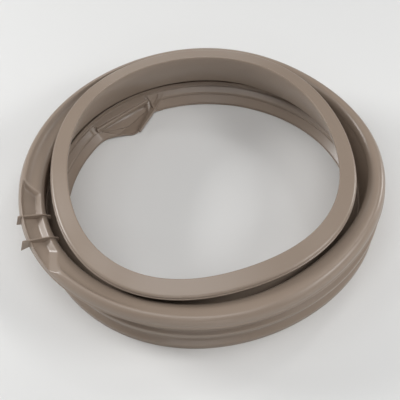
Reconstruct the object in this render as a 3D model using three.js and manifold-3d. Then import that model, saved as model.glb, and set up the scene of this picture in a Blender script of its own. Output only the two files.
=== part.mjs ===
// Door seal of a front-loading washing machine, moulded in one piece from a rubber sheet.
// It lies on its tub end, with the lip that meets the door glass on top.
// Units are millimetres, +Z is up, and the origin is on the floor under the middle of the seal.
import * as THREE from "three";
import { mergeVertices } from "three/addons/utils/BufferGeometryUtils.js";
import Module from "manifold-3d";

const wasm = await Module();
wasm.setup();

// The sheet
const wall = 3; // thickness of the rubber
const height = 92; // floor to the door lip

// Door lip: a cone with a groove and a bead round its rim
const mouthRadius = 152; // inner edge of the door lip
const lipEdge = 1.6; // height of the edge's chamfer
const faceWidth = 20; // across the cone, measured along the radius
const faceDrop = 7; // the rim lies this much below the inner edge
const rimBead = 1.4; // radius of the bead
const beadInset = 0.6; // from the rim in to the middle of the bead
const beadDrop = 2.9; // from the rim down to the middle of the bead

// Collar: the wall that hangs from the door lip down to the fold
const collarFlare = 18.5; // how much wider the collar is at the fold
const collarCurve = 1.35; // 1 is a straight cone
const foldHeight = 34; // floor to the underside of the fold
const foldGap = 2.6; // width of the channel at the bottom of the fold

// Roll: the fat outer fold of the bellows
const rollRadius = 197; // outside of the roll
const rollHalfWidth = 12; // from the crest out to the outside
const rollCentre = 65; // height of the widest place
const rollRise = 12.5; // from the widest place up to the crest
const rollDrop = 3; // from the widest place down to the sharp lower edge
const edgeBead = 0.8; // radius of the bead along the lower edge

// Tub end: an undercut, a ridge, the clamp groove and the foot flange
const undercutDepth = 8.5; // measured in from the outside of the roll
const undercutHeight = 50;
const ridgeHeight = 34;
const ridgeProud = 1.3; // the ridge stands out past the flange
const ridgeHalf = 2; // half the height of its flat
const grooveDepth = 4.5; // clamp groove, measured in from the flange
const grooveTop = 20;
const grooveBottom = 14;
const flangeRadius = 190.5;
const flangeThickness = 8;
const footWidth = 9; // flat ring that rests on the floor

// Tub lip: a thin cone that reaches in towards the drum
const tubLipRadius = 161; // inner edge
const tubLipHeight = 2.2; // floor to the top of the inner edge
const stepRadius = 177; // the step where the cone starts
const stepHeight = 16.5;
const lineRadius = 170.5; // fine raised line round the cone
const lineProud = 1;

// Recess pressed into the crest of the roll
const recessStart = 185; // headings of its two ends, in degrees
const recessEnd = 218;
const recessRamp = 7; // degrees from full depth to nothing at each end
const recessDepth = 6.5;
const recessInner = 22; // from the outside of the roll to the inner shoulder's edge
const recessFloor = 16; // from the outside of the roll to the inner shoulder's foot
const recessRim = 3; // width of the rim that is left along the outside
const recessRimFoot = 6; // from the outside of the roll to the rim's foot

// Fins that stand across the recess, each turned a little from the radius
const fins = [
  { heading: 199, turn: -15 },
  { heading: 208.5, turn: -19 },
];
const finThickness = 1.8;
const finReach = 8; // the tip stands out past the roll
const finInset = 23; // from the outside of the roll to the fin's inner end
const finProud = 1; // the top edge stands above the crest
const finFall = 5; // the tip's top corner is below the top edge
const finTip = 15; // height of the tip

// Scoop: the tub lip bulges in over the mouth and carries a stiffening rib
const scoopStart = 110; // headings of its two ends, in degrees
const scoopEnd = 145;
const scoopSteep = 123.5; // the side with the rib is straight and steep
const scoopGentle = 127.5;
const scoopReach = 19;
const scoopPocket = 3.5; // how deep the middle of the scoop is hollowed
const chordHeading = 128.5; // the raised line runs straight across the scoop
const chordHalfAngle = 12.75;
const ribWidth = 2.2;
const ribProud = 1.6;

// Slack: the free rubber lies a little out of round.
// Each lobe has its count round the ring, its swell in millimetres and the heading of one crest.
const doorSlack = [
  { lobes: 1, swell: 3.6, heading: 161 },
  { lobes: 2, swell: 3.0, heading: 62 },
  { lobes: 3, swell: 2.5, heading: 113 },
  { lobes: 4, swell: 2.8, heading: 60 },
];
const rollSlack = [
  { lobes: 1, swell: 4.7, heading: 242 },
  { lobes: 2, swell: 6.4, heading: 13 },
  { lobes: 3, swell: 1.4, heading: 105 },
  { lobes: 4, swell: 1.6, heading: 3 },
];
const tubSlack = [
  { lobes: 1, swell: 5.4, heading: 40 },
  { lobes: 2, swell: 5.2, heading: 22 },
  { lobes: 3, swell: 2.2, heading: 4 },
];

// Steps round the ring, in degrees
const fineStep = 3;
const coarseStep = 5;

const rad = THREE.MathUtils.degToRad;
const lerp = THREE.MathUtils.lerp;
const clamp = THREE.MathUtils.clamp;
const smooth = THREE.MathUtils.smoothstep;

// Heights and radii worked out from the sizes above
const rimRadius = mouthRadius + faceWidth;
const rimHeight = height - faceDrop;
const foldRadius = mouthRadius + collarFlare;
const foldCentre = foldRadius + wall + foldGap / 2;
const foldAxis = foldHeight + wall + foldGap / 2;
const crestRadius = rollRadius - rollHalfWidth;
const edgeHeight = rollCentre - rollDrop;
const undercutRadius = rollRadius - undercutDepth;
const ridgeRadius = flangeRadius + ridgeProud;
const grooveRadius = flangeRadius - grooveDepth;
const footInner = flangeRadius - footWidth;
const coneSlope = (stepHeight - tubLipHeight) / (stepRadius - tubLipRadius);

// Which ring a point of the section moves with: the door lip, the roll or the tub end.
// A fraction moves with the two rings that it lies between.
const DOOR = 0;
const ROLL = 1;
const TUB = 2;

function point(radius, z, ring) {
  return { radius, z, ring };
}

// Points of an elliptic arc, angles in degrees from straight outwards.
function arc(centre, halfWidth, halfHeight, from, to, count, ring) {
  return Array.from({ length: count }, (_, i) => {
    const angle = rad(lerp(from, to, i / (count - 1)));
    const radius = centre.radius + halfWidth * Math.cos(angle);
    return point(radius, centre.z + halfHeight * Math.sin(angle), ring);
  });
}

// The collar's inner side, from the door lip (0) to the fold (1).
function collar(share, offset) {
  const radius = mouthRadius + collarFlare * share ** collarCurve + offset;
  const z = lerp(height - wall, foldAxis, share);
  return point(radius, z, 0.5 * share);
}

function doorLip() {
  const fall = faceDrop / faceWidth;
  const corner = wall + lipEdge;
  const bead = point(rimRadius - beadInset, rimHeight - beadDrop, DOOR);
  return [
    point(mouthRadius, height - lipEdge, DOOR),
    point(mouthRadius + lipEdge / 2, height, DOOR),
    point(rimRadius, rimHeight, DOOR),
    point(bead.radius, bead.z + rimBead, DOOR),
    ...arc(bead, rimBead, rimBead, 45, -135, 3, DOOR),
    point(rimRadius - wall, rimHeight - wall + fall * wall, DOOR),
    point(mouthRadius + corner, height - wall - fall * corner, DOOR),
  ];
}

function outerFold() {
  const centre = point(foldCentre, foldAxis);
  return [
    collar(0.2, wall),
    collar(0.6, wall),
    ...arc(centre, foldGap / 2, foldGap / 2, 180, 360, 3, 0.5),
  ];
}

function outerRoll() {
  const centre = point(crestRadius, rollCentre);
  const edge = point(rollRadius - edgeBead, edgeHeight - edgeBead, ROLL);
  return [
    ...arc(centre, rollHalfWidth, rollRise, 180, 0, 10, ROLL),
    ...arc(edge, edgeBead, edgeBead, 30, -120, 3, ROLL),
  ];
}

function tubEnd() {
  return [
    point(undercutRadius, lerp(edgeHeight, undercutHeight, 0.5), 1.2),
    point(undercutRadius, undercutHeight, 1.5),
    point(ridgeRadius, ridgeHeight + ridgeHalf, TUB),
    point(ridgeRadius, ridgeHeight - ridgeHalf, TUB),
    point(grooveRadius, grooveTop, TUB),
    point(grooveRadius, grooveBottom, TUB),
    point(flangeRadius, flangeThickness, TUB),
    point(flangeRadius, 0, TUB),
    point(footInner, 0, TUB),
  ];
}

// The cone's upper side at a radius.
function coneHeight(radius) {
  return tubLipHeight + coneSlope * (radius - tubLipRadius);
}

function tubLip() {
  return [
    point(stepRadius + wall / 2, stepHeight - wall - lineProud, TUB),
    point(tubLipRadius + wall / 2, tubLipHeight / 4, TUB),
    point(tubLipRadius, tubLipHeight / 2, TUB),
    ...coneTop,
    point(stepRadius + wall, stepHeight - wall / 4, TUB),
  ];
}

const coneTop = [
  point(tubLipRadius, tubLipHeight, TUB),
  point(lineRadius - lineProud, coneHeight(lineRadius - lineProud), TUB),
  point(lineRadius, coneHeight(lineRadius) + lineProud, TUB),
  point(lineRadius + lineProud, coneHeight(lineRadius + lineProud), TUB),
  point(stepRadius, stepHeight, TUB),
];

function innerWall() {
  const rollInside = point(crestRadius, rollCentre);
  const foldInside = point(foldCentre, foldAxis);
  const turn = foldGap / 2 + wall;
  return [
    point(grooveRadius - wall, grooveTop, TUB),
    point(ridgeRadius - wall, ridgeHeight, TUB),
    point(undercutRadius - wall, undercutHeight, 1.5),
    point(undercutRadius - wall, edgeHeight - wall, 1.1),
    ...arc(rollInside, rollHalfWidth - wall, rollRise - wall, -10, 180, 7, ROLL),
    ...arc(foldInside, turn, turn, 0, -180, 5, 0.5),
    collar(0.6, 0),
    collar(0.2, 0),
  ];
}

const roll = outerRoll();
const section = [...doorLip(), ...outerFold(), ...roll, ...tubEnd(), ...tubLip(), ...innerWall()];

function slackOf(lobes, heading) {
  return lobes.reduce(
    (sum, one) => sum + one.swell * Math.cos(one.lobes * rad(heading - one.heading)),
    0,
  );
}

// How far the rubber lies out of round at a heading, for the ring that a point moves with.
function slack(ring, heading) {
  const door = slackOf(doorSlack, heading);
  const roll = slackOf(rollSlack, heading);
  const tub = slackOf(tubSlack, heading);
  return ring <= ROLL ? lerp(door, roll, ring) : lerp(roll, tub, ring - ROLL);
}

// 1 between two values, falling to 0 over a ramp on each side.
function plateau(value, from, to, rampIn, rampOut) {
  return smooth(value, from, from + rampIn) * (1 - smooth(value, to - rampOut, to));
}

// How far a point of the roll is pressed in towards the roll's centre.
function recess(spot, heading) {
  if (spot.ring !== ROLL || spot.z < rollCentre) return 0;
  const angle = Math.atan2((spot.z - rollCentre) / rollRise, (spot.radius - crestRadius) / rollHalfWidth);
  const out = rollHalfWidth * (1 - Math.cos(angle));
  const shoulders = [recessRimFoot - recessRim, recessInner - recessFloor];
  const across = plateau(out, recessRim, recessInner, ...shoulders);
  return recessDepth * across * plateau(heading, recessStart, recessEnd, recessRamp, recessRamp);
}

function scoop(heading) {
  const steep = clamp((heading - scoopStart) / (scoopSteep - scoopStart), 0, 1);
  return steep * (1 - smooth(heading, scoopGentle, scoopEnd));
}

// How far the raised line is drawn in to run straight across the scoop.
function chordShift(heading) {
  const away = Math.abs(heading - chordHeading);
  if (away >= chordHalfAngle) return 0;
  return lineRadius * (1 - Math.cos(rad(chordHalfAngle)) / Math.cos(rad(away)));
}

// Moves a point of the cone in towards the mouth, by its share of the way to the inner edge.
function scoopShift(spot, heading) {
  const onCone = spot.ring === TUB && spot.radius < stepRadius && spot.z < stepHeight;
  if (!onCone) return { inward: 0, down: 0 };
  const strength = scoop(heading);
  const share = clamp((lineRadius - spot.radius) / (lineRadius - tubLipRadius), 0, 1);
  const onLine = clamp(1 - Math.abs(spot.radius - lineRadius) / (stepRadius - lineRadius), 0, 1);
  const inward = scoopReach * strength * share + chordShift(heading) * onLine;
  return { inward, down: scoopPocket * strength * 4 * share * (1 - share) };
}

// The moulded surface: a point of the section at a heading round the ring.
function placed(spot, heading) {
  const shift = scoopShift(spot, heading);
  const pressed = recess(spot, heading);
  const middle = Math.hypot(spot.radius - crestRadius, spot.z - rollCentre);
  const kept = pressed > 0 ? 1 - pressed / middle : 1;
  const radius = crestRadius + (spot.radius - crestRadius) * kept;
  const z = rollCentre + (spot.z - rollCentre) * kept - shift.down;
  return { radius: radius + slack(spot.ring, heading) - shift.inward, z: Math.max(z, 0) };
}

function toVector(radius, heading, z) {
  return new THREE.Vector3(radius * Math.cos(rad(heading)), radius * Math.sin(rad(heading)), z);
}

// Headings of the sections: close together where the recess and the scoop are.
function headings() {
  const list = [];
  const near = (a) => a > scoopStart - coarseStep && a < scoopEnd + coarseStep;
  const beside = (a) => a > recessStart - coarseStep && a < recessEnd + coarseStep;
  for (let a = 0; a < 360 - coarseStep / 2; a += near(a) || beside(a) ? fineStep : coarseStep) {
    list.push(a);
  }
  return list;
}

// A closed tube of sections: every section is joined to the next, and the last to the first.
function sweep() {
  const around = headings();
  const positions = [];
  for (const heading of around) {
    for (const spot of section) {
      const at = placed(spot, heading);
      positions.push(...toVector(at.radius, heading, at.z).toArray());
    }
  }
  const size = section.length;
  const index = [];
  for (let i = 0; i < around.length; i++) {
    const next = (i + 1) % around.length;
    for (let j = 0; j < size; j++) {
      const up = (j + 1) % size;
      const [a, b, c, d] = [i * size + j, next * size + j, next * size + up, i * size + up];
      index.push(a, c, b, a, d, c);
    }
  }
  const geometry = new THREE.BufferGeometry();
  geometry.setAttribute("position", new THREE.Float32BufferAttribute(positions, 3));
  geometry.setIndex(index);
  return geometry;
}

// Height of a stretch of the surface over a point of the floor plan.
function heightOver(stretch, x, y) {
  const heading = (THREE.MathUtils.radToDeg(Math.atan2(y, x)) + 360) % 360;
  const radius = Math.hypot(x, y);
  const spots = stretch.map((spot) => placed(spot, heading));
  spots.sort((a, b) => a.radius - b.radius);
  const after = spots.findIndex((spot) => spot.radius > radius);
  if (after < 0) return spots[spots.length - 1].z;
  if (after === 0) return spots[0].z;
  const [low, high] = [spots[after - 1], spots[after]];
  return lerp(low.z, high.z, (radius - low.radius) / (high.radius - low.radius));
}

// A plate that stands on edge: its outline is drawn along a line of the floor plan.
function plate(start, direction, outline, thickness) {
  const shape = new THREE.Shape(outline.map(([along, z]) => new THREE.Vector2(along, z)));
  const geometry = new THREE.ExtrudeGeometry(shape, { depth: thickness, bevelEnabled: false });
  geometry.translate(0, 0, -thickness / 2);
  const side = new THREE.Vector3().crossVectors(direction, new THREE.Vector3(0, 0, 1));
  const frame = new THREE.Matrix4().makeBasis(direction, new THREE.Vector3(0, 0, 1), side);
  frame.setPosition(start.x, start.y, 0);
  return geometry.applyMatrix4(frame);
}

function steps(count) {
  return Array.from({ length: count + 1 }, (_, i) => i / count);
}

// A fin stands across the recess. Its foot lies half way into the sheet.
function fin({ heading, turn }) {
  const outside = rollRadius + slack(ROLL, heading);
  const stretch = 1 / Math.cos(rad(turn));
  const start = toVector(outside - finInset, heading, 0);
  const direction = toVector(1, heading + turn, 0);
  const crown = roll.filter((spot) => spot.z >= rollCentre);
  const top = rollCentre + rollRise + finProud;
  const foot = steps(8).map((share) => {
    const along = share * (finInset - wall / 2) * stretch;
    const over = start.clone().addScaledVector(direction, along);
    return [along, heightOver(crown, over.x, over.y) - wall / 2];
  });
  const reach = (finInset + finReach) * stretch;
  const tip = [
    [(finInset - wall / 2) * stretch, top - finFall - finTip],
    [reach, top - finFall - finTip],
    [reach - finReach / 3, top - finFall],
    [reach - finReach, top - finFall / 4],
    [0, top],
  ];
  return plate(start, direction, [...foot, ...tip], finThickness);
}

// The stiffening rib of the scoop, from the step down to the tip.
function rib() {
  const head = scoopStart - coarseStep / 2;
  const top = toVector(stepRadius + slack(TUB, head), head, 0);
  const tipRadius = tubLipRadius - scoopReach + slack(TUB, scoopSteep) + ribWidth / 2;
  const span = toVector(tipRadius, scoopSteep, 0).sub(top);
  const direction = span.clone().normalize();
  const line = steps(8).map((share) => {
    const over = top.clone().addScaledVector(span, share);
    return [share * span.length(), heightOver(coneTop, over.x, over.y)];
  });
  const under = line.map(([along, z]) => [along, z - wall / 4]);
  const over = line.map(([along, z]) => [along, z + ribProud]).reverse();
  return plate(top, direction, [...under, ...over], ribWidth);
}

function solidFrom(geometry) {
  const bare = geometry.clone();
  for (const name of Object.keys(bare.attributes)) {
    if (name !== "position") bare.deleteAttribute(name);
  }
  const merged = mergeVertices(bare, 1e-4);
  const vertProperties = new Float32Array(merged.attributes.position.array);
  const triVerts = new Uint32Array(merged.index.array);
  return new wasm.Manifold(new wasm.Mesh({ numProp: 3, vertProperties, triVerts }));
}

function geometryFrom(solid) {
  const mesh = solid.getMesh();
  const geometry = new THREE.BufferGeometry();
  geometry.setAttribute("position", new THREE.BufferAttribute(mesh.vertProperties, 3));
  geometry.setIndex(new THREE.BufferAttribute(mesh.triVerts, 1));
  geometry.computeVertexNormals();
  return geometry;
}

const extras = [...fins.map(fin), rib()];
const body = extras.reduce((joined, extra) => joined.add(solidFrom(extra)), solidFrom(sweep()));

const rubber = new THREE.MeshStandardMaterial({ color: 0x9c8d80, roughness: 0.55, metalness: 0 });
const seal = new THREE.Mesh(geometryFrom(body), rubber);
seal.name = "door_seal";

// The middle of the seal's outer box stands over the origin.
const box = new THREE.Box3().setFromObject(seal);
const middle = box.getCenter(new THREE.Vector3());
seal.position.set(-middle.x, -middle.y, 0);

const part = new THREE.Group();
part.add(seal);
export default part;
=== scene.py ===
"""Door seal of a front-loading washing machine, in moulded rubber, on a pale studio floor.

The section of the seal is swept round the ring as one fine mesh. The fins, the rib, the bead and the
brace stand on it. Sizes are in millimetres and headings in degrees from +X. Lamps, floor and colours
have Blender's own units, and every Blender object is in metres.
"""
import math
from collections import namedtuple

import bmesh
import bpy
import numpy as np
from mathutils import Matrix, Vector


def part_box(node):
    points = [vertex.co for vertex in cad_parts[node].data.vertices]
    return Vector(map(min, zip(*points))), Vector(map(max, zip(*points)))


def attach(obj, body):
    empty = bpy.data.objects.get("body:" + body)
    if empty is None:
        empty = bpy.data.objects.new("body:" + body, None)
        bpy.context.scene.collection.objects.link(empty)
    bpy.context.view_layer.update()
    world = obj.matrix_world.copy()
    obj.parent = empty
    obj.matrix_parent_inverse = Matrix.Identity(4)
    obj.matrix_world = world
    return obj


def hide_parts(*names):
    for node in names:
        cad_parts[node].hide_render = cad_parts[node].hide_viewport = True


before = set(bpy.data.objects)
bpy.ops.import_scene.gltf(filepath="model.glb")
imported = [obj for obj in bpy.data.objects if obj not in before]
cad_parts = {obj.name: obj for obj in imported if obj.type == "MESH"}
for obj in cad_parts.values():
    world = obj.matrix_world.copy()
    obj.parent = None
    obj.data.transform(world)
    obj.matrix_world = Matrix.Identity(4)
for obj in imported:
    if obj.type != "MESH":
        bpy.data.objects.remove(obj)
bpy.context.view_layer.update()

MM = 0.001

# The sheet
WALL = 3.0
HEIGHT = 92.0

# Door lip: a cone that rolls off at its rim, with a groove and a bead below
MOUTH_RADIUS = 152.0
LIP_EDGE = 1.6
FACE_WIDTH = 14.2
FACE_DROP = 5.0
SHOULDER_WIDTH = 5.0
SHOULDER_DROP = 3.6
SHOULDER_START = 0.45  # share of the face's tilt at which the rolling off starts
SHOULDER_END = 6  # degrees above level at which it ends
RIM_GROOVE = 0.9
RIM_GROOVE_DROP = 0.57
RIM_BEAD = 0.85
RIM_BEAD_DROP = 1.9
RIM_BEAD_INSET = 0.2
RIM_BEAD_SPAN = (70, -135)

# Collar and fold
COLLAR_FLARE = 18.5
COLLAR_CURVE = 1.35
COLLAR_OUTSIDE = (0.1, 0.9, 5)  # shares of the way down to the fold, and the number of corners
COLLAR_INSIDE = (0.94, 0.06, 13)
FOLD_HEIGHT = 34.4
FOLD_GAP = 2.6
FOLD_SPAN = (180, 350)
FOLD_UNDER_SPAN = (0, -180)

# Roll: a tight outer side, and an inner side that is wide and sags to a shelf on the left
ROLL_RADIUS = 196.5
ROLL_OUTER = 8.0
ROLL_INNER = 16.0
ROLL_CENTRE = 67.0
ROLL_RISE = 10.5
ROLL_DROP = 2.0
EDGE_BEAD = 1.2
EDGE_SPAN = (60, -120)
SHELF_SAG = 3.5
SHELF_SKEW = 0.7
SHELF_START = 105.0
SHELF_END = 262.0
SHELF_RAMP = 28.0

# Tub end
UNDERCUT_DEPTH = 8.5
UNDERCUT_HEIGHT = 50.0
RIDGE_HEIGHT = 30.5
RIDGE_PROUD = 2.1
RIDGE_HALF = 2.4
RIDGE_SLOPE = 3.4  # height of the slope above the ridge
RIDGE_SLOPE_PROUD = 0.6  # of the slope's top, from the undercut
GROOVE_DEPTH = 4.5
GROOVE_TOP = 20.0
GROOVE_BOTTOM = 11.5
FLANGE_RADIUS = 190.5
FLANGE_THICKNESS = 6.0
FOOT_WIDTH = 9.0

# Tub lip: a cone with a raised band round its outer part
TUB_LIP_RADIUS = 161.0
TUB_LIP_HEIGHT = 2.2
STEP_RADIUS = 176.2
STEP_HEIGHT = 17.4
STEP_PROUD = 0.3
STEP_RUN = 0.9  # from the step out to the seat
STEP_RISE = 0.2
BAND_RADIUS = 170.0
BAND_PROUD = 1.5
BAND_EDGE = 0.4
SEAT_RADIUS = 178.2  # the rim that rises behind the step, up to the gap below the fold
SEAT_HEIGHT = 23.7
SEAT_WIDTH = 1.8
CLEFT_DEPTH = 9.0  # of the narrow groove behind that rim
CLEFT_WIDTH = 4.2
CLEFT_SLANT = 1.0  # of its outer wall

# Recess in the roll's crest: a tilted floor between a thin rim, a sloping shoulder and two ends
RECESS_START = 187.0
RECESS_END = 219.0
RECESS_MARGIN = 8.0  # degrees past the start and the end in which the planes may still cut
RECESS_FLOOR = 66.6
FLOOR_TILT = 0.25
FLOOR_EDGE = 18.0
RECESS_RIM_TOP = 75.0
RECESS_RIM_INSET = 5.4  # from the outside of the roll in to the top of the rim's wall, at the start
RECESS_RIM_TAPER = 0.17  # and so much less at each degree further on
RECESS_RIM_SLOPE = 4.0
RECESS_SHOULDER_TOP = 71.0
RECESS_SHOULDER_INSET = 25.2
RECESS_SHOULDER_TAPER = 0.22
RECESS_SHOULDER_SLOPE = 0.72
LINING_DEPTH = 0.8 * WALL  # from the recess down to the inside of the sheet
# Three points of the floor plan and their heights on each of the sloping ends
START_WALL = ((-194.1, -18.2, 78.5), (-179.7, -29.5, 74.5), (-196.7, -22.1, 72.0))
START_FOOT = 0.45  # height of the gentler slope between the first of them and the floor
END_WALL = ((-162.3, -96.8, 67.6), (-167.5, -111.8, 66.6), (-154.0, -119.5, 73.2))

# Scoop: the tub lip reaches in over the mouth, and its top is pressed to a pocket with two facets
SCOOP_START = 113.4
SCOOP_STEEP = 125.0
SCOOP_GENTLE = 126.5
SCOOP_END = 142.5
SCOOP_BEFORE = 4.0  # degrees before its start and after its end that are still shaped with it
SCOOP_AFTER = 1.0
SCOOP_REACH = 20.0
SCOOP_LIFT = 3.2
SCOOP_SHEET = 0.55 * WALL  # from its top down to its underside
STEEP_BEND = 0.8  # share of the reach from which the steep side's straight line bends over
STEEP_LIMIT = 1.2  # where that line would be when the bend reaches its top
CHORD_RADIUS = 170.3  # the straight outer edge of the pocket, from one end to the other
CHORD_HEADING = 128.4
CHORD_HALF_ANGLE = 12.5
CHORD_HEIGHT = 15.0
# Corners in the chord's own axes: along it from its middle, in from it, and the height
POCKET_LEFT = (-36.0, 1.0, 9.0)
POCKET_FOOT = (-10.0, 14.5, 2.2)
POCKET_RIGHT = (42.0, 4.0, 4.2)
SCOOP_TIP = (10.8, 28.2, 3.6)
# Plan points on the lines that bound the pocket, so without a height
POCKET_RIDGE_END = (0.3, 29.4)
POCKET_RIB_TOP = (63.0, 4.0)
POCKET_EDGE = 0.3  # from the chord in to the pocket
POCKET_WALL = 1.4

# Rib down the scoop's steep side: plan position, height and half width
RIB_PATH = (
    (-51.8, 169.5, 17.0, 2.2),
    (-54.6, 164.6, 15.0, 3.2),
    (-57.1, 161.2, 12.2, 3.4),
    (-61.4, 152.6, 8.5, 3.1),
    (-66.1, 142.4, 7.2, 2.4),
    (-71.9, 129.8, 6.7, 1.7),
    (-79.6, 113.6, 6.0, 1.2),
)
RIB_SINK = 4.0
# Ridges along the rib: where each lies across it and its half width, as shares of the half width
RIB_RIDGES = ((-0.7, 0.25), (0.1, 0.18), (0.8, 0.16))
RIB_RIDGE_TOP = 0.8
RIB_VALLEY_TOP = 0.15
RIB_FLANK_OUT = 0.04
RIB_FLANK_IN = 0.05
# Bead along the pocket's straight edge: along the chord, in from it, height and half width
BEAD_PATH = ((-37.0, 1.8, 15.0, 2.4), (0.0, 1.6, 15.5, 2.0), (39.5, 1.4, 15.5, 1.8))
BEAD_RISE = 1.6
# Brace beside the rib: two short bars that cross, with a pit on each side of the longer one
BRACE_LONG = ((-74.0, 162.0, 14.8), (-67.9, 155.3, 13.4), (-62.9, 146.5, 9.4))
BRACE_SHORT = ((-69.2, 160.2, 14.8), (-60.8, 163.8, 14.6))
BRACE_HALF_WIDTH = 1.0
BRACE_TOP = ((-1, 0.1), (-0.6, 0.5), (0.6, 0.5), (1, 0.1))  # share of the half width, and height
PITS = (
    ((-66.4, 157.0), (-63.4, 151.0), (-58.2, 163.2)),
    ((-76.5, 161.1), (-72.4, 151.5), (-70.3, 156.2)),
)
PIT_DEPTH = 9.0
PIT_WALL = 0.8

# Fins that stand across the recess: where the inner end is, the turn from the radius, the length,
# and the heights of the lower corner at the tip and of the lower edge at the roll
Fin = namedtuple("Fin", "radius heading turn length tip_foot roll_foot")
FINS = (Fin(176.5, 199.9, -11.0, 38.2, 60.8, 60.5), Fin(178.5, 209.7, -15.9, 41.8, 59.3, 64.5))
FIN_THICKNESS = 1.5
FIN_BEVEL = 0.35
FIN_TOP = 75.6
FIN_START = 70.3  # height of the inner end
FIN_RISE = 9.0  # length of the rising stretch from there
FIN_SAG = 1.0  # of the top edge, where that stretch ends
FIN_LEAN = 0.22  # of the tip, from upright
FIN_CORNER = (1.5, 0.5)  # cut off the tip's upper corner, along and down
FIN_FOOT_POINTS = 24

# Slack of the three hoops: lobes round the ring, swell in millimetres, heading of one crest
DOOR_SLACK = ((1, 3.6, 161), (2, 3.0, 62), (3, 2.5, 113), (4, 2.8, 60))
ROLL_SLACK = ((1, 5.4, 237), (2, 6.9, 18), (3, 1.7, 103), (4, 1.1, 6), (5, 0.7, 3))
TUB_SLACK = ((1, 5.4, 40), (2, 5.2, 22), (3, 2.2, 4))
INNER_SLACK = ((1, 4.6, 222), (2, 1.9, 129), (3, 1.6, 78))  # width of the roll's inner side

# The hoop that a corner moves with: a value between two hoops moves it with both, in that share
DOOR, FOLD, ROLL, TUB = 0.0, 0.5, 1.0, 2.0
ROLL_INSIDE, UNDERCUT_TOP, UNDERCUT_END = 1.1, 1.2, 1.5

FACE_END = (MOUTH_RADIUS + FACE_WIDTH, HEIGHT - FACE_DROP)
RIM_RADIUS = FACE_END[0] + SHOULDER_WIDTH
RIM_HEIGHT = FACE_END[1] - SHOULDER_DROP
FOLD_CENTRE = MOUTH_RADIUS + COLLAR_FLARE + WALL + FOLD_GAP / 2
FOLD_AXIS = FOLD_HEIGHT + WALL + FOLD_GAP / 2
CREST_RADIUS = ROLL_RADIUS - ROLL_OUTER
EDGE_HEIGHT = ROLL_CENTRE - ROLL_DROP
UNDERCUT_RADIUS = ROLL_RADIUS - UNDERCUT_DEPTH
RIDGE_RADIUS = FLANGE_RADIUS + RIDGE_PROUD
GROOVE_RADIUS = FLANGE_RADIUS - GROOVE_DEPTH
CLEFT_START = SEAT_RADIUS + SEAT_WIDTH
CLEFT_END = CLEFT_START + CLEFT_WIDTH
CONE_SLOPE = (STEP_HEIGHT - TUB_LIP_HEIGHT) / (STEP_RADIUS - TUB_LIP_RADIUS)
CHORD_DISTANCE = CHORD_RADIUS * math.cos(math.radians(CHORD_HALF_ANGLE))  # of its middle

# A corner of the section: where it is, the hoop it moves with, the radius of its rounding, the
# number of steps in the straight after it, and the group of surfaces it belongs to.
Corner = namedtuple("Corner", "radius z hoop rounding steps group", defaults=(0.0, 1, ""))


def arc(centre, half, span, count, hoop, group=""):
    """Corners along an elliptic arc. The span is in degrees from straight outwards."""
    made = []
    for angle in np.radians(np.linspace(span[0], span[1], count)):
        radius = centre[0] + half[0] * math.cos(angle)
        z = centre[1] + half[1] * math.sin(angle)
        made.append(Corner(radius, z, hoop, group=group))
    return made


def collar(shares, offset):
    """Corners down the collar's wall, or down the other side of the sheet at an offset."""
    made = []
    for share in np.linspace(*shares):
        radius = MOUTH_RADIUS + COLLAR_FLARE * share**COLLAR_CURVE + offset
        z = HEIGHT - WALL + (FOLD_AXIS - HEIGHT + WALL) * share
        made.append(Corner(radius, z, FOLD * share))
    return made


def cone(radius, proud=0.0, rounding=0.0, steps=1):
    z = TUB_LIP_HEIGHT + CONE_SLOPE * (radius - TUB_LIP_RADIUS) + proud
    return Corner(radius, z, TUB, rounding, steps, "cone")


def door_lip():
    fall = FACE_DROP / FACE_WIDTH
    tilt = math.degrees(math.atan(fall * SHOULDER_WIDTH / SHOULDER_DROP))
    span = (90 - SHOULDER_START * tilt, SHOULDER_END)
    shoulder = (FACE_END[0], RIM_HEIGHT)
    bead_middle = (RIM_RADIUS - RIM_BEAD_INSET, RIM_HEIGHT - RIM_BEAD_DROP)
    under = WALL + LIP_EDGE
    return [
        Corner(MOUTH_RADIUS, HEIGHT - LIP_EDGE, DOOR, rounding=0.5),
        Corner(MOUTH_RADIUS + LIP_EDGE / 2, HEIGHT, DOOR, rounding=0.5, steps=6),
        *arc(shoulder, (SHOULDER_WIDTH, SHOULDER_DROP), span, count=8, hoop=DOOR),
        Corner(RIM_RADIUS - RIM_GROOVE, RIM_HEIGHT - RIM_GROOVE_DROP, DOOR, rounding=0.3),
        *arc(bead_middle, (RIM_BEAD, RIM_BEAD), RIM_BEAD_SPAN, count=7, hoop=DOOR),
        Corner(RIM_RADIUS - WALL, RIM_HEIGHT - RIM_BEAD_DROP - RIM_BEAD, DOOR, steps=2),
        Corner(FACE_END[0] - WALL / 2, FACE_END[1] - WALL, DOOR, steps=2),
        Corner(MOUTH_RADIUS + under, HEIGHT - WALL - fall * under, DOOR, steps=2),
    ]


def crown(inset, inner_count, outer_count, group):
    """The roll from its inner side over the crest to its outside, or the same inside the sheet."""
    crest = (CREST_RADIUS, ROLL_CENTRE)
    rise = ROLL_RISE - inset
    inner = arc(crest, (ROLL_INNER - inset, rise), (180, 90), inner_count, ROLL, group)
    return inner[:-1] + arc(crest, (ROLL_OUTER - inset, rise), (90, 0), outer_count, ROLL, group)


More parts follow.
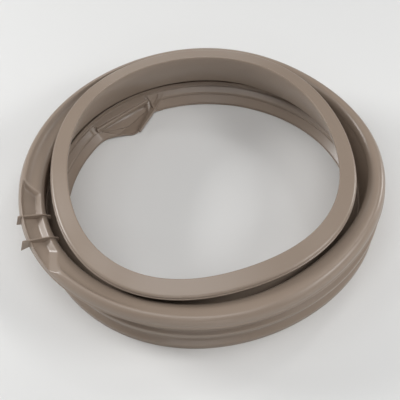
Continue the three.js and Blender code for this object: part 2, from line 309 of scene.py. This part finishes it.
def outer_roll():
    fold, half_gap = (FOLD_CENTRE, FOLD_AXIS), FOLD_GAP / 2
    edge = (ROLL_RADIUS - EDGE_BEAD / 2, EDGE_HEIGHT - EDGE_BEAD)
    return [
        *collar(COLLAR_OUTSIDE, offset=WALL),
        *arc(fold, (half_gap, half_gap), FOLD_SPAN, count=6, hoop=FOLD),
        Corner(FOLD_CENTRE + half_gap, FOLD_AXIS, FOLD, rounding=0.5, steps=4),
        *crown(inset=0, inner_count=30, outer_count=18, group="crown"),
        *arc(edge, (EDGE_BEAD, EDGE_BEAD), EDGE_SPAN, count=6, hoop=ROLL),
    ]


def tub_end():
    slope_top = RIDGE_HEIGHT + RIDGE_HALF + RIDGE_SLOPE
    middle = (EDGE_HEIGHT + UNDERCUT_HEIGHT) / 2
    return [
        Corner(UNDERCUT_RADIUS, middle, UNDERCUT_TOP, rounding=2.5),
        Corner(UNDERCUT_RADIUS, UNDERCUT_HEIGHT, UNDERCUT_END, rounding=4, steps=3),
        Corner(UNDERCUT_RADIUS + RIDGE_SLOPE_PROUD, slope_top, TUB, rounding=2.0),
        Corner(RIDGE_RADIUS, RIDGE_HEIGHT + RIDGE_HALF, TUB, rounding=1.2),
        Corner(RIDGE_RADIUS, RIDGE_HEIGHT - RIDGE_HALF, TUB, rounding=1.0, steps=3),
        Corner(GROOVE_RADIUS, GROOVE_TOP, TUB, rounding=2.0),
        Corner(GROOVE_RADIUS, GROOVE_BOTTOM, TUB, rounding=1.5),
        Corner(FLANGE_RADIUS, FLANGE_THICKNESS, TUB, rounding=1.0, steps=2),
        Corner(FLANGE_RADIUS, 0, TUB, rounding=0.8, steps=2),
        Corner(FLANGE_RADIUS - FOOT_WIDTH, 0, TUB, rounding=0.8, steps=2),
    ]


def tub_lip():
    root = (STEP_RADIUS + WALL / 2, STEP_HEIGHT - WALL - BAND_PROUD)
    tip = (TUB_LIP_RADIUS + WALL / 2, TUB_LIP_HEIGHT / 4)
    step_foot = (STEP_RADIUS + STEP_RUN, STEP_HEIGHT + STEP_RISE)
    return [
        Corner(*root, TUB, rounding=1, steps=5, group="underside"),
        Corner(*tip, TUB, rounding=0.3, group="underside"),
        Corner(TUB_LIP_RADIUS, TUB_LIP_HEIGHT / 2, TUB, rounding=0.3, group="underside"),
        cone(TUB_LIP_RADIUS, rounding=0.4, steps=24),
        cone(BAND_RADIUS, rounding=0.3),
        cone(BAND_RADIUS + BAND_EDGE, BAND_PROUD, rounding=0.4, steps=8),
        cone(STEP_RADIUS, STEP_PROUD, rounding=0.8),
        Corner(*step_foot, TUB, rounding=0.3, group="cone"),
    ]


def inner_wall():
    turn = FOLD_GAP / 2 + WALL
    return [
        Corner(SEAT_RADIUS, STEP_HEIGHT + WALL / 3, TUB, rounding=1.0, steps=2),
        Corner(SEAT_RADIUS, SEAT_HEIGHT, TUB, rounding=0.6),
        Corner(CLEFT_START, SEAT_HEIGHT, TUB, rounding=0.5, steps=2),
        Corner(CLEFT_START, SEAT_HEIGHT - CLEFT_DEPTH, TUB),
        Corner(CLEFT_END, SEAT_HEIGHT - CLEFT_DEPTH, TUB, steps=2),
        Corner(CLEFT_END + CLEFT_SLANT, SEAT_HEIGHT, TUB, steps=2),
        Corner(RIDGE_RADIUS - WALL, RIDGE_HEIGHT + RIDGE_HALF, TUB, steps=2),
        Corner(UNDERCUT_RADIUS - WALL, UNDERCUT_HEIGHT, UNDERCUT_END),
        Corner(UNDERCUT_RADIUS - WALL, EDGE_HEIGHT - WALL, ROLL_INSIDE),
        *crown(inset=WALL, inner_count=10, outer_count=7, group="lining")[::-1],
        *arc((FOLD_CENTRE, FOLD_AXIS), (turn, turn), FOLD_UNDER_SPAN, count=9, hoop=FOLD),
        *collar(COLLAR_INSIDE, offset=0),
    ]


SECTION = [*door_lip(), *outer_roll(), *tub_end(), *tub_lip(), *inner_wall()]


def mix(a, b, share):
    return a + (b - a) * share


def ease(value, low, high):
    """0 below the lower value, 1 above the higher one, smooth between them."""
    share = np.clip((value - low) / (high - low), 0, 1)
    return share * share * (3 - 2 * share)


def slack_of(lobes, heading):
    swing = [swell * np.cos(count * np.radians(heading - crest)) for count, swell, crest in lobes]
    return sum(swing)


def slack(hoop, heading):
    """How far the rubber lies out of round, for points that move with a hoop."""
    door, roll, tub = (slack_of(s, heading) for s in (DOOR_SLACK, ROLL_SLACK, TUB_SLACK))
    return np.where(hoop <= ROLL, mix(door, roll, hoop), mix(roll, tub, hoop - ROLL))


def shelf(heading):
    rise = ease(heading, SHELF_START, SHELF_START + SHELF_RAMP)
    return rise * (1 - ease(heading, SHELF_END - SHELF_RAMP, SHELF_END))


def placed_corners(heading):
    """Radius and height of every corner of the section, at every heading of a column."""
    radius, z, hoop = (np.array([getattr(c, n) for c in SECTION]) for n in ("radius", "z", "hoop"))
    inset = np.array([WALL if c.group == "lining" else 0 for c in SECTION])
    share = np.clip((CREST_RADIUS - radius) / (ROLL_INNER - inset), 0, 1) * (hoop == ROLL)
    wider = share * slack_of(INNER_SLACK, heading)
    sag = SHELF_SAG * np.sin(np.pi * share**SHELF_SKEW) * shelf(heading)
    return np.stack([radius + slack(hoop, heading) - wider, z - sag], axis=-1)


ROUND_POINTS = 4
ROUND_SHARE = 0.4  # the most of a straight that the rounding at one end of it takes
SUPPORT = 0.06  # share of a straight that lies between a rounding and its first cross line


def cross_lines(steps):
    """Where the cross lines of a straight lie, as shares of it."""
    shares = np.arange(1, steps) / steps
    return np.concatenate([[SUPPORT], shares, [1 - SUPPORT]]) if steps > 2 else shares


def finely(corners):
    """Rounds the corners of closed outlines (heading, corner, radius and height), and cuts the
    straights between them into steps. It gives the points and the corner each belongs to."""
    before = np.roll(corners, 1, axis=1)
    after = np.roll(corners, -1, axis=1)
    ends = []
    for k, c in enumerate(SECTION):
        here = corners[:, k]
        back, on = before[:, k] - here, after[:, k] - here
        lengths = [np.linalg.norm(v, axis=1, keepdims=True) for v in (back, on)]
        cuts = [np.minimum(c.rounding, ROUND_SHARE * length) / length for length in lengths]
        ends.append((here + back * cuts[0], here, here + on * cuts[1]))
    points, owner = [], []
    for k, (start, middle, end) in enumerate(ends):
        if SECTION[k].rounding > 0:
            for t in np.linspace(0, 1, ROUND_POINTS):
                points.append(start * (1 - t) ** 2 + middle * 2 * t * (1 - t) + end * t * t)
        else:
            points.append(middle)
        goal = ends[(k + 1) % len(ends)][0]
        points += [mix(end, goal, t) for t in cross_lines(SECTION[k].steps)]
        owner += [k] * (len(points) - len(owner))
    return np.stack(points, axis=1), np.array(owner)


# Headings of the sections: from, to and step, fine over the scoop and the recess
HEADINGS = ((0, 106, 2.0), (106, 146, 0.5), (146, 184, 2.0), (184, 222, 0.38), (222, 360, 2.0))


def heading_list():
    return np.concatenate([np.arange(low, high - step / 2, step) for low, high, step in HEADINGS])


def plane_height(corners, along, inward):
    """Height over a plan point of the plane through three corners."""
    known = np.array([[1, c[0], c[1]] for c in corners])
    a, b, c = np.linalg.solve(known, np.array([c[2] for c in corners]))
    return a + b * along + c * inward


def recess_height(out, heading):
    """Height of the surface that the recess cuts, at a distance in from the roll's outside."""
    radius = ROLL_RADIUS + slack_of(ROLL_SLACK, heading) - out
    turn = np.radians(heading)
    place = radius * np.cos(turn), radius * np.sin(turn)
    along = heading - RECESS_START
    floor_height = RECESS_FLOOR + (FLOOR_EDGE - out) * FLOOR_TILT
    rim = RECESS_RIM_TOP + (RECESS_RIM_INSET - RECESS_RIM_TAPER * along - out) * RECESS_RIM_SLOPE
    past_foot = out - RECESS_SHOULDER_INSET + RECESS_SHOULDER_TAPER * along
    shoulder = RECESS_SHOULDER_TOP + past_foot * RECESS_SHOULDER_SLOPE
    ends = [plane_height(wall, *place) for wall in (START_WALL, END_WALL)]
    foot = (floor_height + ends[0]) / 2 + START_FOOT
    return np.maximum.reduce([floor_height, rim, shoulder, foot, *ends])


def with_recess(heading, group, radius, z):
    """Heights with the recess cut into the crown, and into its lining below."""
    out = ROLL_RADIUS + slack_of(ROLL_SLACK, heading) - radius
    near = (heading > RECESS_START - RECESS_MARGIN) & (heading < RECESS_END + RECESS_MARGIN)
    cut = np.where(near, recess_height(out, heading), HEIGHT)
    z = np.where(group == "crown", np.minimum(z, cut), z)
    under_crest = (group == "lining") & (z > ROLL_CENTRE)
    return np.where(under_crest, np.minimum(z, cut - LINING_DEPTH), z)


def scoop(heading):
    """How far the scoop reaches in, from 0 to 1."""
    steep = np.clip((heading - SCOOP_START) / (SCOOP_STEEP - SCOOP_START), 0, STEEP_LIMIT)
    steep = steep - np.maximum(steep - STEEP_BEND, 0) ** 2 / STEEP_BEND
    return steep * (1 - ease(heading, SCOOP_GENTLE, SCOOP_END))


def chord_axes(x, y):
    """A point of the floor plan in the chord's axes: along it, and in from it to the middle."""
    turn = math.radians(CHORD_HEADING)
    along = x * math.sin(turn) - y * math.cos(turn)
    inward = CHORD_DISTANCE - x * math.cos(turn)
    return along, inward - y * math.sin(turn)


def from_chord(along, inward):
    """The point of the floor plan at a place in the chord's axes."""
    turn = math.radians(CHORD_HEADING)
    out = CHORD_DISTANCE - inward
    return out * math.cos(turn) + along * math.sin(turn), out * math.sin(turn) - along * math.cos(turn)


def on_chord(heading):
    return np.abs(heading - CHORD_HEADING) < CHORD_HALF_ANGLE


def chord_pull(radius, heading):
    """How far the step is drawn in, so that it runs straight along the chord."""
    away = np.clip(np.abs(heading - CHORD_HEADING) / CHORD_HALF_ANGLE, 0, 1)
    line = CHORD_DISTANCE / np.cos(np.radians(away * CHORD_HALF_ANGLE))
    return np.where(on_chord(heading), radius - line, 0.0)


def with_scoop(heading, group, base, radius, z):
    """Radius and height with the tub lip reaching in and its step straight along the chord."""
    tub = slack_of(TUB_SLACK, heading)
    strength = scoop(heading)
    reach = np.clip((STEP_RADIUS - base) / (STEP_RADIUS - TUB_LIP_RADIUS), 0, 1)
    edge = TUB_LIP_RADIUS + tub - SCOOP_REACH * strength
    pulled = STEP_RADIUS + tub - chord_pull(STEP_RADIUS + tub, heading)
    scooped = mix(pulled, edge, reach)
    step = np.where(on_chord(heading), CHORD_HEIGHT, STEP_HEIGHT)
    lifted = mix(step, TUB_LIP_HEIGHT + SCOOP_LIFT * strength, reach)
    near = (heading > SCOOP_START - SCOOP_BEFORE) & (heading < SCOOP_END + SCOOP_AFTER)
    top, under = (group == "cone") & near, (group == "underside") & near
    radius = np.where(top, scooped + np.maximum(base - STEP_RADIUS, 0), radius)
    z = np.where(top & (base <= STEP_RADIUS), lifted, z)
    return np.where(under, scooped, radius), np.where(under, lifted - SCOOP_SHEET, z)


def beside(start, end, along, inward):
    """Distance of a plan point from a line, positive on its left."""
    run = np.array(end[:2]) - np.array(start[:2])
    run = run / np.linalg.norm(run)
    return (inward - start[1]) * run[0] - (along - start[0]) * run[1]


def pocket_height(along, inward, z):
    """Height of the scoop's top, where its facets are pressed into the cone."""
    wall_facet = plane_height((POCKET_LEFT, POCKET_FOOT, POCKET_RIGHT), along, inward)
    lip_facet = plane_height((POCKET_FOOT, POCKET_RIGHT, SCOOP_TIP), along, inward)
    ridge = beside(POCKET_RIDGE_END, POCKET_LEFT, along, inward)
    rib_side = beside(POCKET_RIB_TOP, SCOOP_TIP, along, inward)
    inside = np.minimum.reduce([inward - POCKET_EDGE, ridge, rib_side])
    depth = np.clip(inside / POCKET_WALL, 0, 1)
    return np.minimum(z, mix(z, np.maximum(wall_facet, lip_facet), depth))


def in_pit(x, y):
    """1 inside the triangles beside the brace, 0 outside them, and steep between."""
    depths = []
    for corners in PITS:
        sides = [beside(a, b, x, y) for a, b in zip(corners, corners[1:] + corners[:1])]
        depths.append(np.clip(np.minimum.reduce(sides) / PIT_WALL, 0, 1))
    return np.maximum.reduce(depths)


def with_pocket(heading, group, radius, z):
    """Heights with the pocket pressed into the scoop, and the pits beside the brace."""
    turn = np.radians(heading)
    x, y = radius * np.cos(turn), radius * np.sin(turn)
    plan = chord_axes(x, y)
    top, under, near = group == "cone", group == "underside", on_chord(heading)
    z = np.where(top & near, pocket_height(*plan, z), z)
    below = np.minimum(z, pocket_height(*plan, z + SCOOP_SHEET) - SCOOP_SHEET)
    z = np.where(under & near, below, z)
    return np.where(top, z - PIT_DEPTH * in_pit(x, y), z)


def swept():
    """The whole surface as radius and height, by heading and place along the section."""
    heading = heading_list()[:, None]
    outline, owner = finely(placed_corners(heading))
    radius, z = outline[..., 0], outline[..., 1]
    group = np.array([SECTION[k].group for k in owner])
    round_outline = finely(np.array([[[c.radius, c.z] for c in SECTION]]))[0]
    base = round_outline[0, :, 0]

    z = with_recess(heading, group, radius, z)
    radius, z = with_scoop(heading, group, base, radius, z)
    z = with_pocket(heading, group, radius, z)
    return heading[:, 0], radius, np.maximum(z, 0), group


SWEPT = swept()


def add(name, mesh):
    piece = bpy.data.objects.new(name, mesh)
    bpy.context.scene.collection.objects.link(piece)
    return piece


def ring(name):
    """The swept surface as one closed mesh of four-sided faces."""
    heading, radius, z, _ = SWEPT
    turn = np.radians(heading)[:, None]
    points = np.stack([radius * np.cos(turn), radius * np.sin(turn), z], axis=-1)
    rows, size = radius.shape
    i, j = np.meshgrid(np.arange(rows), np.arange(size), indexing="ij")
    next_row, next_point = (i + 1) % rows, (j + 1) % size
    quads = np.stack(
        [i * size + j, i * size + next_point, next_row * size + next_point, next_row * size + j],
        axis=-1,
    )
    mesh = bpy.data.meshes.new(name)
    mesh.from_pydata((points.reshape(-1, 3) * MM).tolist(), [], quads.reshape(-1, 4).tolist())
    mesh.polygons.foreach_set("use_smooth", [True] * len(mesh.polygons))
    mesh.update()
    return add(name, mesh)


def toward(radius, heading, z=0.0):
    turn = math.radians(heading)
    return Vector((radius * math.cos(turn), radius * math.sin(turn), z))


def over_crown(x, y):
    """Height of the roll's top over a point of the floor plan."""
    heading, radius, z, group = SWEPT
    row = int(np.argmin(np.abs((heading - math.degrees(math.atan2(y, x)) + 180) % 360 - 180)))
    on_crown = group == "crown"
    order = np.argsort(radius[row, on_crown])
    known = radius[row, on_crown][order], z[row, on_crown][order]
    return float(np.interp(math.hypot(x, y), *known))


def loft(name, rings):
    """A closed body through rings of points, with a cap on each end."""
    size = len(rings[0])
    points = [tuple(np.array(point) * MM) for ring_points in rings for point in ring_points]
    faces = []
    for k in range(len(rings) - 1):
        for j in range(size):
            up = (j + 1) % size
            faces.append((k * size + j, k * size + up, (k + 1) * size + up, (k + 1) * size + j))
    faces.append(tuple(range(size))[::-1])
    faces.append(tuple(range((len(rings) - 1) * size, len(rings) * size)))
    mesh = bpy.data.meshes.new(name)
    mesh.from_pydata(points, [], faces)
    shape = bmesh.new()
    shape.from_mesh(mesh)
    bmesh.ops.recalc_face_normals(shape, faces=shape.faces)
    bmesh.ops.triangulate(shape, faces=[face for face in shape.faces if len(face.verts) > 4])
    shape.to_mesh(mesh)
    shape.free()
    return add(name, mesh)


LEAST_SLANT = 0.5  # so that a sharp corner isn't drawn in too far


def inset_outline(outline, inset):
    """The outline drawn in by a distance, corner by corner."""
    points = np.array(outline)
    before, after = np.roll(points, 1, axis=0), np.roll(points, -1, axis=0)
    into = (points - before) / np.linalg.norm(points - before, axis=1, keepdims=True)
    on = (after - points) / np.linalg.norm(after - points, axis=1, keepdims=True)
    left = np.stack([-(into + on)[:, 1], (into + on)[:, 0]], axis=1)
    left /= np.linalg.norm(left, axis=1, keepdims=True)
    slant = np.abs(left[:, 0] * -into[:, 1] + left[:, 1] * into[:, 0])
    return points + left * (inset / np.maximum(slant, LEAST_SLANT))[:, None]


def fin(name, one):
    start = toward(one.radius, one.heading)
    run = toward(1, one.heading + one.turn)
    side = Vector((run.y, -run.x, 0))
    outside = ROLL_RADIUS + slack_of(ROLL_SLACK, one.heading) - WALL / 2
    seat = (outside - one.radius) / math.cos(math.radians(one.turn))
    foot = []
    for along in np.linspace(0, seat, FIN_FOOT_POINTS):
        over = start + run * along
        foot.append((along, over_crown(over.x, over.y) - WALL / 2))
    upper_tip = one.length - FIN_LEAN * (FIN_TOP - one.tip_foot)
    top = [
        (seat, one.roll_foot),
        (one.length, one.tip_foot),
        (upper_tip, FIN_TOP - FIN_CORNER[1]),
        (upper_tip - FIN_CORNER[0], FIN_TOP),
        (FIN_RISE, FIN_TOP - FIN_SAG),
        (0, FIN_START),
    ]
    outline = foot + top
    small = inset_outline(outline, FIN_BEVEL)
    half = FIN_THICKNESS / 2
    rings = []
    slices = ((small, -half), (outline, FIN_BEVEL - half), (outline, half - FIN_BEVEL), (small, half))
    for line, across in slices:
        rings.append([start + run * a + side * across + Vector((0, 0, z)) for a, z in line])
    return loft(name, rings)


def bar(name, path, top):
    """A bar along a path of points and half widths. Its top is drawn across it, as shares of the
    half width and heights, and its sides go down into the rubber."""
    profile = [(-1, -RIB_SINK), *top, (1, -RIB_SINK)]
    places = np.array(path, dtype=float)
    runs = np.gradient(places[:, :2], axis=0)
    runs /= np.linalg.norm(runs, axis=1, keepdims=True)
    rings = []
    for (x, y, z, half), run in zip(places, runs):
        rings.append([(x + run[1] * u * half, y - run[0] * u * half, z + h) for u, h in profile])
    return loft(name, rings)


def spread(path, count):
    """Points spread evenly along a path, with the heights and widths between the given ones."""
    places = np.array(path, dtype=float)
    stretches = np.linalg.norm(np.diff(places[:, :2], axis=0), axis=1)
    length = np.concatenate([[0], np.cumsum(stretches)])
    at = np.linspace(0, length[-1], count)
    return np.stack([np.interp(at, length, places[:, k]) for k in range(places.shape[1])], axis=1)


def rib():
    top = []
    for middle, half in RIB_RIDGES:
        left, right = middle - half, middle + half
        top += [(left - RIB_FLANK_OUT, RIB_VALLEY_TOP), (left + RIB_FLANK_IN, RIB_RIDGE_TOP)]
        top += [(right - RIB_FLANK_IN, RIB_RIDGE_TOP), (right + RIB_FLANK_OUT, RIB_VALLEY_TOP)]
    return bar("scoop_rib", spread(RIB_PATH, count=40), top)


def bead():
    path = [(*from_chord(along, inward), z, half) for along, inward, z, half in BEAD_PATH]
    angles = np.radians(np.linspace(180, 0, 9))
    top = [(math.cos(angle), BEAD_RISE * math.sin(angle)) for angle in angles]
    return bar("scoop_bead", spread(path, count=12), top)


def brace(name, places):
    path = [(*place, BRACE_HALF_WIDTH) for place in places]
    return bar(name, spread(path, count=8), BRACE_TOP)


# Rubber: two taupes that mix softly, a satin gloss that varies with them, and a fine grain
DARKER = (0.286, 0.222, 0.174, 1)
LIGHTER = (0.300, 0.235, 0.185, 1)
TINT_RANGE = (0.1, 0.9)
ROUGHNESS = (0.28, 0.33)
CLOUD = (14.0, 1.0)  # scale and detail of the noise
GRAIN = (900.0, 3.0)
GRAIN_STRENGTH = 0.12
GRAIN_DEPTH = 0.0002


def rubber():
    material = bpy.data.materials.new("taupe rubber")
    material.use_nodes = True
    nodes, links = material.node_tree.nodes, material.node_tree.links
    shader = nodes["Principled BSDF"]
    place = nodes.new("ShaderNodeTexCoord")

    def noise(scale, detail):
        made = nodes.new("ShaderNodeTexNoise")
        made.inputs["Scale"].default_value = scale
        made.inputs["Detail"].default_value = detail
        links.new(place.outputs["Object"], made.inputs["Vector"])
        return made.outputs["Fac"]

    cloud = noise(*CLOUD)
    tint = nodes.new("ShaderNodeValToRGB")
    for stop, position, colour in zip(tint.color_ramp.elements, TINT_RANGE, (DARKER, LIGHTER)):
        stop.position = position
        stop.color = colour
    links.new(cloud, tint.inputs["Fac"])
    links.new(tint.outputs["Color"], shader.inputs["Base Color"])

    gloss = nodes.new("ShaderNodeMapRange")
    gloss.inputs["To Min"].default_value, gloss.inputs["To Max"].default_value = ROUGHNESS
    links.new(cloud, gloss.inputs["Value"])
    links.new(gloss.outputs["Result"], shader.inputs["Roughness"])

    bump = nodes.new("ShaderNodeBump")
    bump.inputs["Strength"].default_value = GRAIN_STRENGTH
    bump.inputs["Distance"].default_value = GRAIN_DEPTH
    links.new(noise(*GRAIN), bump.inputs["Height"])
    links.new(bump.outputs["Normal"], shader.inputs["Normal"])
    return material


FLOOR_SIZE = 24
FLOOR_COLOUR = (0.78, 0.78, 0.77)
FLOOR_ROUGHNESS = 0.7


def floor():
    bpy.ops.mesh.primitive_plane_add(size=FLOOR_SIZE)
    ground = bpy.context.object
    ground.name = "floor"
    material = bpy.data.materials.new("pale floor")
    material.use_nodes = True
    shader = material.node_tree.nodes["Principled BSDF"]
    shader.inputs["Base Color"].default_value = (*FLOOR_COLOUR, 1)
    shader.inputs["Roughness"].default_value = FLOOR_ROUGHNESS
    ground.data.materials.append(material)


# Rectangular lamps that face the seal: heading and elevation in degrees, sides in metres, watts
Lamp = namedtuple("Lamp", "name heading elevation width height power")
LAMPS = (
    Lamp("left", 164, 27, 0.5, 0.35, 12.5),
    Lamp("right back", 24, 13, 0.45, 0.3, 5.5),
    Lamp("right", 348, 40, 0.6, 0.4, 7),
    Lamp("back", 95, 22, 0.9, 0.3, 3),
    Lamp("top", 262, 73, 1.2, 0.8, 9),
    Lamp("top left", 184, 56, 0.35, 0.3, 1.5),
    Lamp("front left", 206, 18, 0.6, 0.4, 0.8),
    Lamp("front right", 325, 22, 0.6, 0.5, 1.2),
    Lamp("top right", 50, 56, 0.25, 0.25, 1.6),
    Lamp("front", 270, 38, 0.4, 0.2, 1.1),
    Lamp("front low", 270, 8, 1.0, 0.2, 1.8),
)
LAMP_DISTANCE = 1.6
WORLD_COLOUR = (0.96, 0.97, 1.0)
WORLD_STRENGTH = 0.1


def softbox(one):
    light = bpy.data.lights.new(one.name, "AREA")
    light.shape = "RECTANGLE"
    light.size, light.size_y = one.width, one.height
    light.energy = one.power
    tilt = math.radians(one.elevation)
    away = toward(math.cos(tilt), one.heading, math.sin(tilt)) * LAMP_DISTANCE
    lamp = add(one.name, light)
    lamp.location = away + Vector((0, 0, HEIGHT / 2 * MM))
    lamp.rotation_euler = (-away).to_track_quat("-Z", "Y").to_euler()


def studio():
    for one in LAMPS:
        softbox(one)
    world = bpy.data.worlds.new("studio")
    bpy.context.scene.world = world
    world.use_nodes = True
    background = world.node_tree.nodes["Background"]
    background.inputs["Color"].default_value = (*WORLD_COLOUR, 1)
    background.inputs["Strength"].default_value = WORLD_STRENGTH


# Camera: it looks down at the door lip's centre, which lies a little above the picture's middle
PIXEL = 1.1  # millimetres across a pixel of the picture at the lip's centre
PIXELS_AWAY = 1050  # from the camera to there
DISTANCE = PIXELS_AWAY * PIXEL
DEPRESSION = 52.0
ABOVE_MIDDLE = 40  # pixels
RIGHT_OF_MIDDLE = 4
SENSOR = 36.0
PICTURE = 400
CLIP = (0.05, 50)


def camera(ring_middle):
    tilt = math.radians(DEPRESSION)
    lip = ring_middle + Vector((0, 0, HEIGHT * MM))
    up = Vector((0, math.sin(tilt), math.cos(tilt)))
    aim = lip - (up * ABOVE_MIDDLE + Vector((RIGHT_OF_MIDDLE, 0, 0))) * PIXEL * MM
    place = lip + Vector((0, -math.cos(tilt), math.sin(tilt))) * DISTANCE * MM
    data = bpy.data.cameras.new("camera")
    data.lens, data.sensor_width = SENSOR * DISTANCE / PIXEL / PICTURE, SENSOR
    data.clip_start, data.clip_end = CLIP
    viewer = add("camera", data)
    viewer.location = place
    viewer.rotation_euler = (aim - place).to_track_quat("-Z", "Y").to_euler()
    bpy.context.scene.camera = viewer


def frame_shift(pieces):
    """The move that puts the middle of all the pieces where the seal's is in the frame."""
    low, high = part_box("door_seal")
    points = np.array([tuple(v.co) for piece in pieces for v in piece.data.vertices])
    middle = (points.min(0) + points.max(0)) / 2
    return Vector(((low[0] + high[0]) / 2 - middle[0], (low[1] + high[1]) / 2 - middle[1], 0))


pieces = [ring("seal_ring"), *[fin(f"fin_{k + 1}", one) for k, one in enumerate(FINS)]]
pieces += [rib(), bead(), brace("brace_long", BRACE_LONG), brace("brace_short", BRACE_SHORT)]
taupe = rubber()
shift = frame_shift(pieces)
for piece in pieces:
    piece.data.materials.append(taupe)
    piece.location = shift
    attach(piece, "root")
    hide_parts("door_seal")

floor()
studio()
camera(shift)
bpy.context.scene.view_settings.view_transform = "Standard"

bpy.context.view_layer.update()
